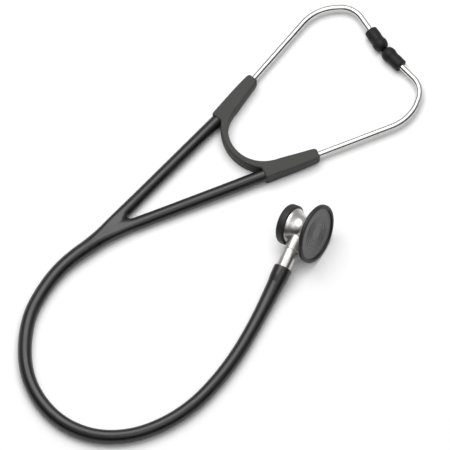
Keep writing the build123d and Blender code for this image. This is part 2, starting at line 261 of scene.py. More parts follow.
def lofted(bm, rings):
    """Closed rings of points joined into one capped skin."""
    rows = [[bm.verts.new(point) for point in ring] for ring in rings]
    count = len(rows[0])
    for low, high in zip(rows, rows[1:]):
        for side in range(count):
            after = (side + 1) % count
            bm.faces.new([low[side], low[after], high[after], high[side]])
    bm.faces.new(rows[0])
    bm.faces.new(rows[-1])
    return bm


def mirrored_copy(obj, name):
    """The left-hand twin of a right-hand piece, across the headset's middle plane."""
    bm = bmesh.new()
    bm.from_mesh(obj.data)
    for vert in bm.verts:
        vert.co.x = 2 * MIDDLE.x - vert.co.x
    bmesh.ops.reverse_faces(bm, faces=bm.faces)
    mesh = bpy.data.meshes.new(name)
    bm.to_mesh(mesh)
    bm.free()
    for material in obj.data.materials:
        mesh.materials.append(material)
    twin = bpy.data.objects.new(name, mesh)
    bpy.context.scene.collection.objects.link(twin)
    return twin


def cut_with(obj, cutter):
    """Takes cutter's shape out of obj, and removes cutter."""
    apply_modifier(obj, "BOOLEAN", object=cutter, operation="DIFFERENCE", solver="EXACT")
    bpy.data.objects.remove(cutter)


def apply_modifier(obj, kind, **values):
    """Bakes one modifier into obj's mesh."""
    modifier = obj.modifiers.new(kind.title(), kind)
    for key, value in values.items():
        setattr(modifier, key, value)
    bake(obj)


def bake(obj):
    """Turns what obj's modifiers make into its plain mesh, and removes them."""
    bpy.context.view_layer.update()
    evaluated = obj.evaluated_get(bpy.context.evaluated_depsgraph_get())
    mesh = bpy.data.meshes.new_from_object(evaluated)
    obj.modifiers.clear()
    obj.data = mesh


def paint(obj, *materials):
    obj.data.materials.clear()
    for material in materials:
        obj.data.materials.append(material)


# --- Shader helpers ---

def node(tree, kind, place=(0, 0), **values):
    made = tree.nodes.new(kind)
    made.location = place
    for key, value in values.items():
        setattr(made, key, value)
    return made


def group(name, inputs, outputs):
    """An empty shader group with named float inputs (name: default) and named outputs (name: kind)."""
    tree = bpy.data.node_groups.new(name, "ShaderNodeTree")
    for label, default in inputs.items():
        socket = tree.interface.new_socket(name=label, in_out="INPUT", socket_type="NodeSocketFloat")
        socket.default_value = default
    for label, kind in outputs.items():
        tree.interface.new_socket(name=label, in_out="OUTPUT", socket_type=kind)
    return tree, node(tree, "NodeGroupInput", (-900, 0)), node(tree, "NodeGroupOutput", (600, 0))


def fine_grain():
    """Moulded-rubber grain: a height, and a soft patchiness from 0 to 1, on Object coordinates."""
    if "Fine grain" in bpy.data.node_groups:
        return bpy.data.node_groups["Fine grain"]
    tree, inside, out = group("Fine grain", {"Grain scale": 2500.0, "Patch scale": 60.0},
                              {"Height": "NodeSocketFloat", "Patches": "NodeSocketFloat"})
    where = node(tree, "ShaderNodeTexCoord", (-900, -300))
    grain = node(tree, "ShaderNodeTexNoise", (-500, 100))
    grain.inputs["Detail"].default_value = 3
    patches = node(tree, "ShaderNodeTexNoise", (-500, -250))
    patches.inputs["Detail"].default_value = 4
    patches.inputs["Roughness"].default_value = 0.6
    spread = node(tree, "ShaderNodeMapRange", (-100, -250))
    spread.inputs["From Min"].default_value = 0.35
    spread.inputs["From Max"].default_value = 0.68
    for noise, scale in ((grain, "Grain scale"), (patches, "Patch scale")):
        tree.links.new(where.outputs["Object"], noise.inputs["Vector"])
        tree.links.new(inside.outputs[scale], noise.inputs["Scale"])
    tree.links.new(patches.outputs["Fac"], spread.inputs["Value"])
    tree.links.new(grain.outputs["Fac"], out.inputs["Height"])
    tree.links.new(spread.outputs["Result"], out.inputs["Patches"])
    return tree


def scratches():
    """Fine handling marks on metal and plastic: a mask from 0 to 1, on Object coordinates."""
    if "Handling marks" in bpy.data.node_groups:
        return bpy.data.node_groups["Handling marks"]
    tree, inside, out = group("Handling marks", {"Scale": 300.0, "Amount": 0.5},
                              {"Marks": "NodeSocketFloat"})
    where = node(tree, "ShaderNodeTexCoord", (-900, -300))
    stretch = node(tree, "ShaderNodeMapping", (-700, -100))
    stretch.inputs["Scale"].default_value = (1.0, 0.08, 1.0)
    stretch.inputs["Rotation"].default_value = (0.3, 0.7, 0.9)
    streaks = node(tree, "ShaderNodeTexNoise", (-450, 0))
    streaks.inputs["Detail"].default_value = 6
    thin = node(tree, "ShaderNodeMapRange", (-150, 0))
    thin.inputs["From Min"].default_value = 0.56
    thin.inputs["From Max"].default_value = 0.75
    strength = node(tree, "ShaderNodeMath", (150, 0), operation="MULTIPLY")
    tree.links.new(where.outputs["Object"], stretch.inputs["Vector"])
    tree.links.new(stretch.outputs["Vector"], streaks.inputs["Vector"])
    tree.links.new(inside.outputs["Scale"], streaks.inputs["Scale"])
    tree.links.new(streaks.outputs["Fac"], thin.inputs["Value"])
    tree.links.new(thin.outputs["Result"], strength.inputs[0])
    tree.links.new(inside.outputs["Amount"], strength.inputs[1])
    tree.links.new(strength.outputs["Value"], out.inputs["Marks"])
    return tree


def start_material(name, colour):
    """A material with a Principled shader, its tree and the shader."""
    material = bpy.data.materials.new(name)
    material.use_nodes = True
    material.diffuse_color = (*colour, 1)
    tree = material.node_tree
    return material, tree, tree.nodes["Principled BSDF"]


def add_group(tree, shared, place, **values):
    made = node(tree, "ShaderNodeGroup", place, node_tree=shared)
    for label, value in values.items():
        made.inputs[label.replace("_", " ")].default_value = value
    return made


def link_range(tree, source, target, low, high, place):
    """Drives a socket from a 0-to-1 value, between two limits."""
    spread = node(tree, "ShaderNodeMapRange", place)
    spread.inputs["To Min"].default_value = low
    spread.inputs["To Max"].default_value = high
    tree.links.new(source, spread.inputs["Value"])
    tree.links.new(spread.outputs["Result"], target)


def link_tint(tree, source, target, dark, light, place):
    """Mixes two colours by a 0-to-1 value."""
    mix = node(tree, "ShaderNodeMix", place, data_type="RGBA")
    mix.inputs["A"].default_value = (*dark, 1)
    mix.inputs["B"].default_value = (*light, 1)
    tree.links.new(source, mix.inputs["Factor"])
    tree.links.new(mix.outputs["Result"], target)


def link_bump(tree, source, shader, strength, distance, place):
    bump = node(tree, "ShaderNodeBump", place)
    bump.inputs["Strength"].default_value = strength
    bump.inputs["Distance"].default_value = distance
    tree.links.new(source, bump.inputs["Height"])
    tree.links.new(bump.outputs["Normal"], shader.inputs["Normal"])


def rubber(name, colour, roughness, grain_scale, bump_depth, lighter=1.5, specular=0.5):
    """Moulded rubber or vinyl: fine grain, patchy gloss and a slightly uneven colour."""
    material, tree, shader = start_material(name, colour)
    grain = add_group(tree, fine_grain(), (-900, 0), Grain_scale=grain_scale, Patch_scale=70.0)
    light = [channel * lighter for channel in colour]
    link_tint(tree, grain.outputs["Patches"], shader.inputs["Base Color"], colour, light, (-500, 200))
    link_range(tree, grain.outputs["Patches"], shader.inputs["Roughness"], *roughness, (-500, 0))
    link_bump(tree, grain.outputs["Height"], shader, 0.6, bump_depth, (-300, -200))
    shader.inputs["Specular IOR Level"].default_value = specular
    return material


def metal(name, colour, roughness, marks_scale=260.0, bump_depth=0.0004 * MM):
    """Polished metal with faint handling marks."""
    material, tree, shader = start_material(name, colour)
    shader.inputs["Metallic"].default_value = 1.0
    marks = add_group(tree, scratches(), (-900, 0), Scale=marks_scale, Amount=1.0)
    grain = add_group(tree, fine_grain(), (-900, -300), Grain_scale=1200.0, Patch_scale=90.0)
    dull = [channel * 0.93 for channel in colour]
    link_tint(tree, grain.outputs["Patches"], shader.inputs["Base Color"], dull, colour, (-500, 200))
    link_range(tree, marks.outputs["Marks"], shader.inputs["Roughness"], *roughness, (-500, 0))
    link_bump(tree, grain.outputs["Height"], shader, 0.25, bump_depth, (-300, -200))
    return material


def turned_metal(name, colour, roughness, place):
    """Polished metal with the fine rings that a lathe leaves about the place's Z axis."""
    material = metal(name, colour, roughness)
    tree = material.node_tree
    shader = tree.nodes["Principled BSDF"]
    where = node(tree, "ShaderNodeTexCoord", (-1500, -600))
    centre = node(tree, "ShaderNodeMapping", (-1300, -600), vector_type="TEXTURE")
    centre.inputs["Location"].default_value = place.to_translation()
    centre.inputs["Rotation"].default_value = place.to_euler()
    split = node(tree, "ShaderNodeSeparateXYZ", (-1100, -600))
    rings = node(tree, "ShaderNodeTexNoise", (-700, -600), noise_dimensions="1D")
    rings.inputs["Scale"].default_value = 5200.0
    rings.inputs["Detail"].default_value = 2
    bump = tree.nodes["Bump"]
    bump.inputs["Strength"].default_value = 0.35
    tree.links.new(where.outputs["Object"], centre.inputs["Vector"])
    tree.links.new(centre.outputs["Vector"], split.inputs["Vector"])
    tree.links.new(split.outputs["Z"], rings.inputs["W"])
    tree.links.new(rings.outputs["Fac"], bump.inputs["Height"])
    shader.inputs["Anisotropic"].default_value = 0.3
    return material


def material_for(name, maker, *values, **named):
    """Each material is made once."""
    return bpy.data.materials.get(name) or maker(name, *values, **named)


def tubing_material():
    colour = tuple(bpy.context.scene.steth_tubing.colour)
    return material_for("Black tubing", rubber, colour, (0.26, 0.36), 1500.0, 0.008 * MM)


def yoke_material():
    colour = tuple(bpy.context.scene.steth_yoke.colour)
    return material_for("Yoke rubber", rubber, colour, (0.6, 0.75), 2600.0, 0.02 * MM, lighter=1.25,
                        specular=0.35)


def tip_material():
    colour = tuple(bpy.context.scene.steth_headset.tip_colour)
    return material_for("Ear tip rubber", rubber, colour, (0.5, 0.62), 2200.0, 0.01 * MM, specular=0.25)


def rim_material():
    colour = (0.012, 0.0125, 0.012)
    return material_for("Rim rubber", rubber, colour, (0.42, 0.55), 2200.0, 0.01 * MM, specular=0.4)


def chrome_material():
    return material_for("Ear tube chrome", metal, tuple(bpy.context.scene.steth_headset.metal), (0.16, 0.24))


def steel_material():
    return material_for("Turned steel", turned_metal, tuple(bpy.context.scene.steth_chestpiece.metal),
                        (0.31, 0.36), HEAD)


def stem_material():
    return material_for("Stem steel", turned_metal, tuple(bpy.context.scene.steth_chestpiece.metal),
                        (0.31, 0.36), STEM)


def spring_steel_material():
    return material_for("Spring steel", metal, (0.45, 0.45, 0.46), (0.25, 0.4))


def brass_material():
    return material_for("Insert brass", metal, (0.72, 0.52, 0.24), (0.2, 0.35))


# --- Tubing ---

class STETH_OT_main_tube(bpy.types.Operator):
    """Lay the free tube along its route, flared over the stem at its far end"""
    bl_idname = "steth.main_tube"
    bl_label = "Main tube"

    def execute(self, context):
        size = context.scene.steth_tubing
        collar_end = 45 * MM
        touch_down = (HEAD_CENTRE.z - size.tube_radius) / -STEM_AXIS.z
        swell_at_collar = 6.4 / 5.2
        route = [V_PLACE @ Vector(point) for point in TUBE_ROUTE]
        bend = HEAD_CENTRE + STEM_AXIS * touch_down
        route += [Vector((bend.x, bend.y, 6.1 * MM)), HEAD_CENTRE + STEM_AXIS * collar_end]
        swell = TUBE_SWELL + [1.13, swell_at_collar]
        data = bpy.data.curves.new("free_tube", "CURVE")
        data.dimensions = "3D"
        spline = data.splines.new("NURBS")
        spline.points.add(len(route) - 1)
        for point, place, share in zip(spline.points, route, swell):
            point.co = (*place, 1)
            point.radius = share
        spline.order_u = 3
        spline.use_endpoint_u = True
        spline.resolution_u = 24
        spline.use_smooth = True
        data.bevel_depth = size.tube_radius
        data.bevel_resolution = 12
        data.use_fill_caps = True
        tube = bpy.data.objects.new("free_tube", data)
        context.scene.collection.objects.link(tube)
        data.materials.append(tubing_material())
        collar = self.collar(size, collar_end, swell_at_collar)
        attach(tube, "tubing")
        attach(collar, "tubing")
        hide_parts("main_tube")
        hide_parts("tube_collar")
        length = sum((b - a).length for a, b in zip(spline_line(tube), spline_line(tube)[1:]))
        print("free tube length", round(length, 4))
        return {"FINISHED"}

    def collar(self, size, collar_end, swell):
        """The stretched end of the tube, with its rounded lip at the stem's shoulder."""
        mouth, end = 32.5, collar_end / MM
        lip = size.mouth_radius / MM
        outline = rounded([(2.6, mouth), (lip, mouth, 0.55), (lip + 0.08, mouth + 3.0, 2.0)])
        outline += curve_through([(lip + 0.02, mouth + 4.5), (lip - 0.03, mouth + 8),
                                  (5.2 * swell, end)])
        outline += [Vector((2.6, end))]
        collar = turned("tube_collar_flare", outline, STEM, 96, ring=True)
        paint(collar, tubing_material())
        return collar


def spline_line(curve_object):
    """Points along a curve's smooth line, as Blender draws it."""
    data = curve_object.data.copy()
    data.bevel_depth = 0
    plain = bpy.data.objects.new("line", data)
    mesh = bpy.data.meshes.new_from_object(plain)
    points = [vertex.co.copy() for vertex in mesh.vertices]
    bpy.data.objects.remove(plain)
    bpy.data.meshes.remove(mesh)
    return points


def smoothstep(low, high, value):
    t = min(max((value - low) / (high - low), 0), 1)
    return t * t * (3 - 2 * t)


def between(stations, value):
    """A value read from a smooth curve through (place, value) stations."""
    if value <= stations[0][0]:
        return stations[0][1]
    ends = [stations[0]] + list(stations) + [stations[-1]]
    for before, (a, first), (b, second), after in zip(ends, ends[1:], ends[2:], ends[3:]):
        if a < b and value <= b:
            slope_in = (second - before[1]) / (b - before[0])
            slope_out = (after[1] - first) / (after[0] - a)
            t = (value - a) / (b - a)
            blend = first + (second - first) * t * t * (3 - 2 * t)
            return blend + (b - a) * t * (1 - t) * (slope_in * (1 - t) - slope_out * t)
    return stations[-1][1]


class STETH_OT_branch_tubes(bpy.types.Operator):
    """Make the V: each half runs from the main tube through the crotch into its sleeve"""
    bl_idname = "steth.branch_tubes"
    bl_label = "Branch tubes"

    def execute(self, context):
        radius = context.scene.steth_tubing.branch_radius / MM
        for side, sign in (("right", 1), ("left", -1)):
            bm = lofted(bmesh.new(), self.rings(radius, sign))
            bmesh.ops.remove_doubles(bm, verts=bm.verts, dist=2e-6)
            bmesh.ops.recalc_face_normals(bm, faces=bm.faces)
            obj = new_object("branch_" + side, bm)
            paint(obj, tubing_material())
            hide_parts("branch_tube_" + side)
            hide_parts("tube_junction")
            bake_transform(obj)
        return {"FINISHED"}

    def from_seam(self, place, sign):
        """A place on one side, in millimetres from the V's seam, as if it were on the right."""
        local = V_PLACE.inverted() @ Vector((MIDDLE.x + sign * (place.x - MIDDLE.x), place.y, place.z)) / MM
        return Vector((sign * (local.x - self.seam(local.y)), local.y, local.z))

    def seam(self, y):
        """The plane where the two halves meet bears off to the left before the crotch."""
        return between([(-40, 0.0), (-22, -1.0), (-8, -1.6), (2, -1.7), (12, -1.7)], y)

    def rings(self, radius, sign):
        """Cross-sections of one half, from the main tube's end to inside the sleeve."""
        knee = self.from_seam(SLEEVE_FOOT - SLEEVE_AXIS * 0.7 * MM, sign)
        inside = [(share, self.from_seam(SLEEVE_FOOT + SLEEVE_AXIS * out * MM, sign))
                  for out, share in ((1.6, 1.0), (2.6, 0.8), (12.0, 0.8))]
        crotch_x, crotch_z = 6.2, 5.0
        slope = (knee.x - crotch_x) / knee.y
        lean = math.atan(slope)
        half = radius / math.cos(lean)
        edge = [(-40, 5.8), (-32, 6.15), (-23, 6.85), (-9, 9.2), (0, crotch_x + half),
                (12, crotch_x + 12 * slope + half)]
        rings = []
        start, turn_end = -40.0, 12.0
        count = 104
        for step in range(count + 1):
            y = start + (turn_end - start) * step / count
            natural = crotch_x + slope * y
            centre_x = (natural + math.hypot(natural, 1.6)) / 2 * smoothstep(-40, -30, y)
            outer = between(edge, y) - centre_x
            tall = between([(-40, 5.8), (-24, 5.35), (-9, 4.9), (0, radius), (12, radius)], y)
            boxy = between([(-40, 2.0), (-28, 2.05), (-14, 2.5), (-6, 2.4), (2, 2.1), (12, 2.0)], y)
            inner = self.inner_reach(y, centre_x, natural - half)
            centre_z = between([(-40, 5.8), (-24, 5.5), (-8, 5.15), (2, crotch_z), (12, crotch_z)], y)
            tilt = lean * smoothstep(-8, 12, y)
            rings.append(self.section(Vector((centre_x, y, centre_z)), tilt, outer, inner, tall, boxy, sign))
        first = Vector((crotch_x + slope * turn_end, turn_end, crotch_z))
        for step in range(1, 41):
            centre = first.lerp(knee, step / 40)
            rings.append(self.section(centre, lean, radius, radius, radius, 2.0, sign))
        for share, centre in inside:
            thin = radius * share
            rings.append(self.section(centre, lean, thin, thin, thin, 2.0, sign))
        return rings

    def inner_reach(self, y, centre_x, gap):
        """How far the section reaches towards the seam; past the crotch it leaves a gap."""
        crotch, rounding = -0.4, 2.6
        if y <= crotch:
            groove = between([(-26, 0.15), (-12, 0.3), (-6, 0.5), (-2.5, 0.8), (crotch, 1.0)], y)
            return max(centre_x / groove, centre_x + 0.02)
        opening = gap * math.sqrt(1 - (1 - min((y - crotch) / rounding, 1)) ** 2)
        return centre_x - opening

    def section(self, centre, tilt, outer, inner, tall, boxy, sign):
        """One closed ring: round outside, and cut flat where it meets the seam."""
        across = Vector((math.cos(tilt), -math.sin(tilt), 0))
        share = min(centre.x / inner, 1.0) if inner > 0 else 1.0
        cut = math.acos(min(share ** (boxy / 2), 1.0))
        limit = math.pi - cut
        count, flat = 88, 6
        points = []
        for step in range(count + 1):
            t = step / count
            angle = -limit + 2 * limit * t
            cosine, sine = math.cos(angle), math.sin(angle)
            reach = outer if cosine >= 0 else inner
            x = reach * math.copysign(abs(cosine) ** (2 / boxy), cosine)
            z = tall * math.copysign(abs(sine) ** (2 / boxy), sine)
            point = centre + across * x + UP * z
            if step in (0, count) and cut > 0.02:
                point.x = 0
            points.append(point)
        top, bottom = points[-1], points[0]
        points += [top.lerp(bottom, step / flat) for step in range(1, flat)]
        return [V_PLACE @ (Vector((self.seam(p.y) + sign * max(p.x, 0), p.y, p.z)) * MM) for p in points]


# --- Yoke ---

def yoke_heights(y):
    """The yoke's lower and upper surface, y millimetres up the headset."""
    thinning = max(y - 106, 0) * 0.03
    return thinning, 11.5 - thinning


def box_ring(inner, outer, low, high, rounding, steps=6):
    """A rounded-rectangle cross-section between two plan points, from low to high."""
    width, middle = (outer - inner).length, (inner + outer) / 2
    across = (outer - inner).normalized()
    half_w, half_h = width / 2, (high - low) / 2
    rounding = min(rounding, half_w * 0.95, half_h * 0.95)
    points = []
    for corner, (sx, sz) in enumerate(((1, 1), (-1, 1), (-1, -1), (1, -1))):
        for step in range(steps + 1):
            angle = math.pi / 2 * (corner + step / steps)
            u = sx * (half_w - rounding) + rounding * math.cos(angle)
            w = sz * (half_h - rounding) + rounding * math.sin(angle)
            points.append(middle + across * u + UP * ((low + high) / 2 + w))
    return points


class STETH_OT_yoke(bpy.types.Operator):
    """Mould the rubber yoke in two halves, and lay half of the leaf spring in each"""
    bl_idname = "steth.yoke"
    bl_label = "Yoke"

    def execute(self, context):
        size = context.scene.steth_yoke
        rounding = size.edge_radius / MM
        bm = bmesh.new()
        lofted(bm, self.to_frame(self.sleeve_rings(rounding)))
        lofted(bm, self.to_frame(self.bridge_rings(rounding)))
        bmesh.ops.recalc_face_normals(bm, faces=bm.faces)
        right = new_object("yoke_right", bm)
        apply_modifier(right, "REMESH", mode="VOXEL", voxel_size=size.grain)
        apply_modifier(right, "SMOOTH", factor=0.5, iterations=size.softening)
        self.trim_at_middle(right)
        self.bore(right)
        paint(right, yoke_material())
        left = mirrored_copy(right, "yoke_left")
        spring_right = self.half_spring()
        spring_left = mirrored_copy(spring_right, "leaf_spring_left")
        for obj, spring, side, sign in ((right, spring_right, "right", 1), (left, spring_left, "left", -1)):
            for face in obj.data.polygons:
                face.use_smooth = True
            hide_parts("yoke_bridge", "yoke_sleeve_" + side)
            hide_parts("leaf_spring")
            for piece in (obj, spring):
                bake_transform(piece)
        return {"FINISHED"}

    def half_spring(self):
        """Half of the steel strip inside the bridge, cut in short lengths."""
        slice_width, slices = 1.5 * MM, 27
        bm = bmesh.new()
        bm.from_mesh(frame["nodes"]["leaf_spring"].data)
        bmesh.ops.remove_doubles(bm, verts=bm.verts, dist=0.001 * MM)
        for step in range(1, slices + 1):
            everything = bm.verts[:] + bm.edges[:] + bm.faces[:]
            cut = MIDDLE + Vector((slice_width * step, 0, 0))
            bmesh.ops.bisect_plane(bm, geom=everything, plane_co=cut, plane_no=(1, 0, 0))
        spring = new_object("leaf_spring_right", bm)
        self.trim_at_middle(spring)
        paint(spring, spring_steel_material())
        return spring

    def to_frame(self, rings):
        return [[MIDDLE + point * MM for point in ring] for ring in rings]

    def sleeve_rings(self, rounding):
        """The sleeve along its axis; its inner side swells where the bridge joins it."""
        along = Vector((SLEEVE_AXIS.x, SLEEVE_AXIS.y, 0)).normalized()
        outward = Vector((along.y, -along.x, 0))
        foot = Vector((FOOT_LEVEL.x, FOOT_LEVEL.y, 0)) / MM
        rings = []
        ends = [(-1.0, 0.8), (-0.6, 0.93), (0.0, 0.99)]
        body = [(1.5 + 1.5 * step, 1.0) for step in range(25)]
        mouth = [(39.5, 0.995), (41.0, 0.97), (42.0, 0.91), (42.6, 0.83), (42.95, 0.7)]
        for out, share in ends + body + mouth:
            outer = between([(-1, 5.1), (10, 5.2), (28, 5.15), (43, 4.6)], out) * share
            inner = between([(-1, 4.9), (3, 5.4), (11, 6.8), (30, 5.3), (43, 4.3)], out) * share
            at = foot + along * out
            low, high = yoke_heights(at.y)
            trim = (1 - share) * (high - low) / 2.6
            ring = box_ring(at - outward * inner, at + outward * outer, low + trim, high - trim, rounding)
            rings.append(ring)
        return rings

    def bridge_rings(self, rounding):
        """Half of the U, from just past the middle plane to inside the sleeve."""
        inner_centre, inner_r = Vector((0, 123.5, 0)), 26.4
        outer_centre, outer_r = Vector((0, 128.6, 0)), 36.0
        rings = []
        for step in range(49):
            t = step / 48
            a = math.radians(-98 + (98 - 20) * t)
            b = math.radians(-96 + (96 - 42) * t)
            inner = inner_centre + inner_r * Vector((math.cos(a), math.sin(a), 0))
            outer = outer_centre + outer_r * Vector((math.cos(b), math.sin(b), 0))
            low, high = yoke_heights((inner.y + outer.y) / 2)
            rings.append(box_ring(inner, outer, low + 0.15, high - 0.15, rounding * 0.9))
        return rings

    def trim_at_middle(self, obj):
        """Cuts the half off at the middle plane and closes the cut."""
        bm = bmesh.new()
        bm.from_mesh(obj.data)
        everything = bm.verts[:] + bm.edges[:] + bm.faces[:]
        cut = bmesh.ops.bisect_plane(bm, geom=everything, plane_co=MIDDLE, plane_no=(-1, 0, 0),
                                     clear_outer=True)
        rim = [item for item in cut["geom_cut"] if isinstance(item, bmesh.types.BMEdge)]
        bmesh.ops.holes_fill(bm, edges=rim)
        for edge in rim:
            edge.smooth = False
        bm.to_mesh(obj.data)
        bm.free()

    def bore(self, obj):
        """Opens the mouth round the ear tube and the foot round the branch tube."""
        place = axes(SLEEVE_FOOT, SLEEVE_AXIS, UP)
        ear_hole = [(0, 30), (2.5, 30), (2.5, 42.4), (3.0, 43.3), (3.0, 46), (0, 46)]
        cut_with(obj, turned("cutter", ear_hole, place, 48))
        branch_hole = [(0, -8), (4.85, -8), (4.85, 2.4), (3.95, 2.9), (3.95, 12.5), (0, 12.5)]
        cut_with(obj, turned("cutter", branch_hole, place, 48))


# --- Ear tubes and ear tips ---

def bent_tube_nodes():
    """A round tube along a chain of edges: corners are filleted by their own radius."""
    tree = bpy.data.node_groups.new("Bent tube", "GeometryNodeTree")
    face = tree.interface
    face.new_socket(name="Geometry", in_out="INPUT", socket_type="NodeSocketGeometry")
    face.new_socket(name="Radius", in_out="INPUT", socket_type="NodeSocketFloat")
    face.new_socket(name="Sides", in_out="INPUT", socket_type="NodeSocketInt")
    face.new_socket(name="Material", in_out="INPUT", socket_type="NodeSocketMaterial")
    face.new_socket(name="Geometry", in_out="OUTPUT", socket_type="NodeSocketGeometry")
    inside = node(tree, "NodeGroupInput", (-900, 0))
    line = node(tree, "GeometryNodeMeshToCurve", (-700, 0))
    bend = node(tree, "GeometryNodeInputNamedAttribute", (-700, -250), data_type="FLOAT")
    bend.inputs["Name"].default_value = "bend_radius"
    fillet = node(tree, "GeometryNodeFilletCurve", (-450, 0), mode="POLY")
    fillet.inputs["Count"].default_value = 40
    ring = node(tree, "GeometryNodeCurvePrimitiveCircle", (-450, -350))
    skin = node(tree, "GeometryNodeCurveToMesh", (-150, 0))
    skin.inputs["Fill Caps"].default_value = True
    real = node(tree, "GeometryNodeRealizeInstances", (100, 0))
    finish = node(tree, "GeometryNodeSetMaterial", (300, 0))
    out = node(tree, "NodeGroupOutput", (500, 0))
    links = tree.links
    links.new(inside.outputs["Geometry"], line.inputs["Mesh"])
    links.new(line.outputs["Curve"], fillet.inputs["Curve"])
    links.new(bend.outputs["Attribute"], fillet.inputs["Radius"])
    links.new(inside.outputs["Sides"], ring.inputs["Resolution"])
    links.new(inside.outputs["Radius"], ring.inputs["Radius"])
    links.new(fillet.outputs["Curve"], skin.inputs["Curve"])
    links.new(ring.outputs["Curve"], skin.inputs["Profile Curve"])
    links.new(skin.outputs["Mesh"], real.inputs["Geometry"])
    links.new(real.outputs["Geometry"], finish.inputs["Geometry"])
    links.new(inside.outputs["Material"], finish.inputs["Material"])
    links.new(finish.outputs["Geometry"], out.inputs["Geometry"])
    return tree


def run_nodes(obj, tree, **values):
    """Runs a node tree on obj with these inputs, and keeps the result as a plain mesh."""
    modifier = obj.modifiers.new(tree.name, "NODES")
    modifier.node_group = tree
    for item in tree.interface.items_tree:
        label = item.name.replace(" ", "_")
        if item.in_out == "INPUT" and label in values:
            modifier[item.identifier] = values[label]
    bake(obj)


def ear_path():
    """The right ear tube's corners and bend radii, and the ear tip's placement."""
    flat = Vector((SLEEVE_AXIS.x, SLEEVE_AXIS.y, 0)).normalized()
    pitch = Matrix.Rotation(math.asin(SLEEVE_AXIS.z / flat.y), 4, "X")
    level = Matrix.Translation(Vector((MIDDLE.x, SLEEVE_FOOT.y, SLEEVE_FOOT.z))) @ pitch
    foot = Vector((FOOT_LEVEL.x, 0, 0))
    droop = math.radians(5.0)
    along = Vector((-math.cos(droop), -math.sin(droop), 0))
    base = Vector((18.8, 135.6, 0)) * MM
    corners = [foot + flat * 9 * MM, foot + flat * 118 * MM, base - along * 23.5 * MM, base + along * 8 * MM]
    turn = level.to_3x3()
    tip = axes(level @ base, turn @ along, turn @ UP)
    return [level @ corner for corner in corners], [0, 34 * MM, 18 * MM, 0], tip


class STETH_OT_ear_tubes(bpy.types.Operator):
    """Bend the two plated ear tubes"""
    bl_idname = "steth.ear_tubes"
    bl_label = "Ear tubes"

    def execute(self, context):
        size = context.scene.steth_headset
        corners, bends, _ = ear_path()
        mesh = bpy.data.meshes.new("ear_tube_right_bent")
        mesh.from_pydata(corners, [(0, 1), (1, 2), (2, 3)], [])
        attribute = mesh.attributes.new("bend_radius", "FLOAT", "POINT")
        for item, bend in zip(attribute.data, bends):
            item.value = bend
        right = bpy.data.objects.new("ear_tube_right_bent", mesh)
        context.scene.collection.objects.link(right)
        run_nodes(right, bent_tube_nodes(), Radius=size.tube_radius, Sides=size.sides,
                  Material=chrome_material())
        bm = bmesh.new()
        bm.from_mesh(right.data)
        bmesh.ops.recalc_face_normals(bm, faces=bm.faces)
        bm.to_mesh(right.data)
        bm.free()
        for face in right.data.polygons:
            face.use_smooth = len(face.vertices) == 4
        left = mirrored_copy(right, "ear_tube_left_bent")
        for obj, side in ((right, "right"), (left, "left")):
            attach(obj, side + "_ear_tube")
            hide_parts("ear_tube_" + side)
        return {"FINISHED"}


class STETH_OT_ear_tips(bpy.types.Operator):
    """Mould the two soft ear tips"""
    bl_idname = "steth.ear_tips"
    bl_label = "Ear tips"

    def execute(self, context):
        place = ear_path()[2]
        length, head, barrel = 18.5, 5.7, 5.1
        outline = rounded([(2.45, 7.5), (2.45, 0), (barrel - 0.15, 0, 0.9), (barrel, 5.0, 2.0),
                           (barrel - 0.15, 8.8)])
        outline += curve_through([(barrel - 0.15, 9.0), (barrel - 0.1, 9.9), (head - 0.3, 11.3), (head, 12.9),
                                  (head - 0.15, 14.6), (head - 0.8, 16.4), (head - 2.1, 17.8), (1.9, length)], 8)
        outline += rounded([(1.9, length), (1.3, length - 0.1, 0.3), (1.3, 12.0), (2.45, 12.0)])
        right = turned("ear_tip_right_soft", outline, place, 96, ring=True)
        paint(right, tip_material())
        left = mirrored_copy(right, "ear_tip_left_soft")
        for obj, side in ((right, "right"), (left, "left")):
            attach(obj, side + "_ear_tube")
            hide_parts("ear_tip_" + side)
        return {"FINISHED"}


# --- Chestpiece ---

